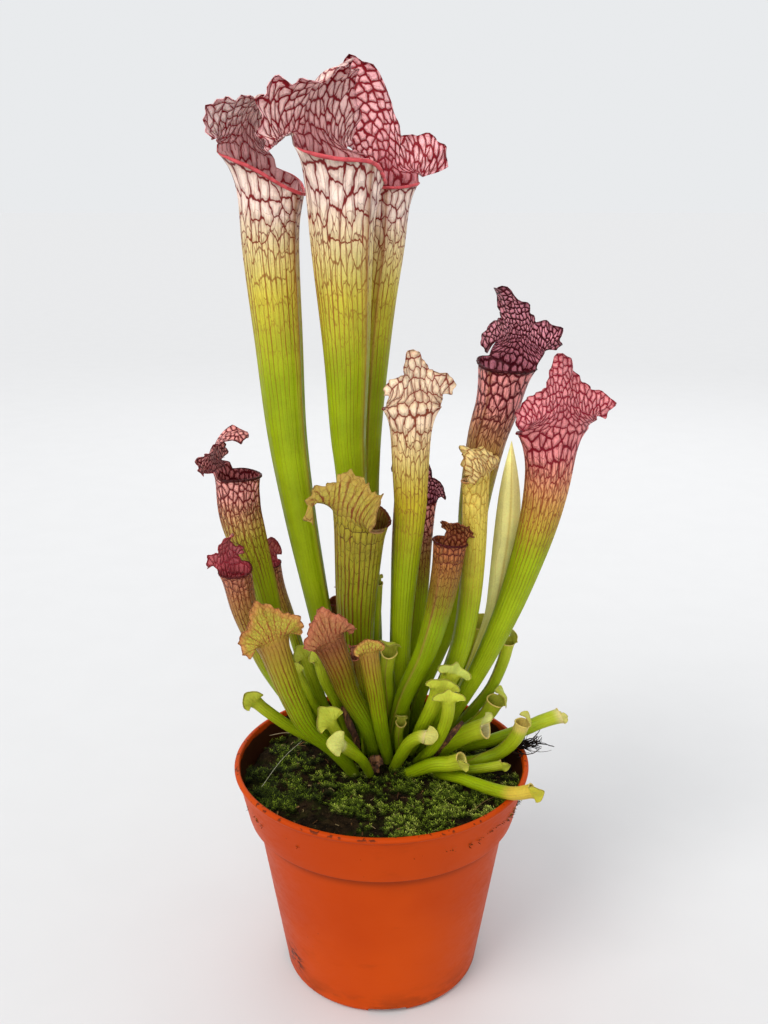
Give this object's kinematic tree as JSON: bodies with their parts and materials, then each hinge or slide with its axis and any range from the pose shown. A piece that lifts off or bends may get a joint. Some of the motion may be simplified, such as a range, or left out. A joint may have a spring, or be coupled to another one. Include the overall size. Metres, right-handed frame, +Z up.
{
  "type": "potted pitcher plant",
  "caption": "Clump of slender trumpet pitchers with ruffled, net-veined hoods, growing in dark peat in a round tapered plastic nursery pot.",
  "frame": {"origin": "middle of the pot's underside, on the plane the pot stands on", "axes": "+Z up along the pot, +Y away from the side the clump is seen from, +X to that viewer's right"},
  "size_m": [0.1531, 0.1214, 0.369],
  "materials": {
    "pot_plastic": "moulded, satin, lightly scuffed",
    "peat": "rough, crumbly, partly mossy",
    "leaf_green": "waxy, satin",
    "leaf_pale": "waxy, satin, thinly translucent",
    "leaf_red": "waxy, satin",
    "leaf_brown": "satin, ageing",
    "dry_leaf": "dry, papery"
  },
  "bodies": {
    "root": {"pot": "pot_plastic", "peat": "peat", "dry_leaf": "dry_leaf", "dry_blade": "dry_leaf", "dry_sheath": "dry_leaf", "leaf_tall_left": "leaf_pale", "leaf_tall_mid": "leaf_pale", "leaf_tall_right": "leaf_pale", "leaf_pale_mid": "leaf_pale", "leaf_dark_right": "leaf_red", "leaf_red_right": "leaf_red", "leaf_cream": "leaf_pale", "leaf_pale_closed": "leaf_pale", "leaf_dark_left": "leaf_red", "leaf_red_low_left": "leaf_red", "leaf_red_behind": "leaf_red", "leaf_squat_old": "leaf_brown", "leaf_dark_back_a": "leaf_red", "leaf_dark_back_b": "leaf_red", "leaf_red_mid": "leaf_red", "leaf_front_left_big": "leaf_green", "leaf_front_second": "leaf_brown", "leaf_green_front": "leaf_green", "leaf_green_round": "leaf_green", "leaf_small_hood": "leaf_green", "leaf_slender": "leaf_green", "leaf_brown_tip": "leaf_brown", "leaf_low_left_out": "leaf_green", "leaf_front_kite": "leaf_green", "leaf_front_hook": "leaf_green", "leaf_right_hood": "leaf_green", "leaf_right_flare": "leaf_green", "leaf_right_tee": "leaf_green", "leaf_arch_low": "leaf_green", "leaf_low_big": "leaf_green", "leaf_behind_bulge": "leaf_green", "leaf_yellow_arch": "leaf_green", "leaf_far_right": "leaf_green", "leaf_open_ring": "leaf_green", "leaf_under_ring": "leaf_green", "leaf_low_right": "leaf_green", "leaf_shade_hood": "leaf_green", "leaf_behind_red": "leaf_green", "leaf_left_green_a": "leaf_green", "leaf_left_green_b": "leaf_green", "leaf_left_green_c": "leaf_green", "leaf_behind_cream": "leaf_green"}
  },
  "joints": []
}
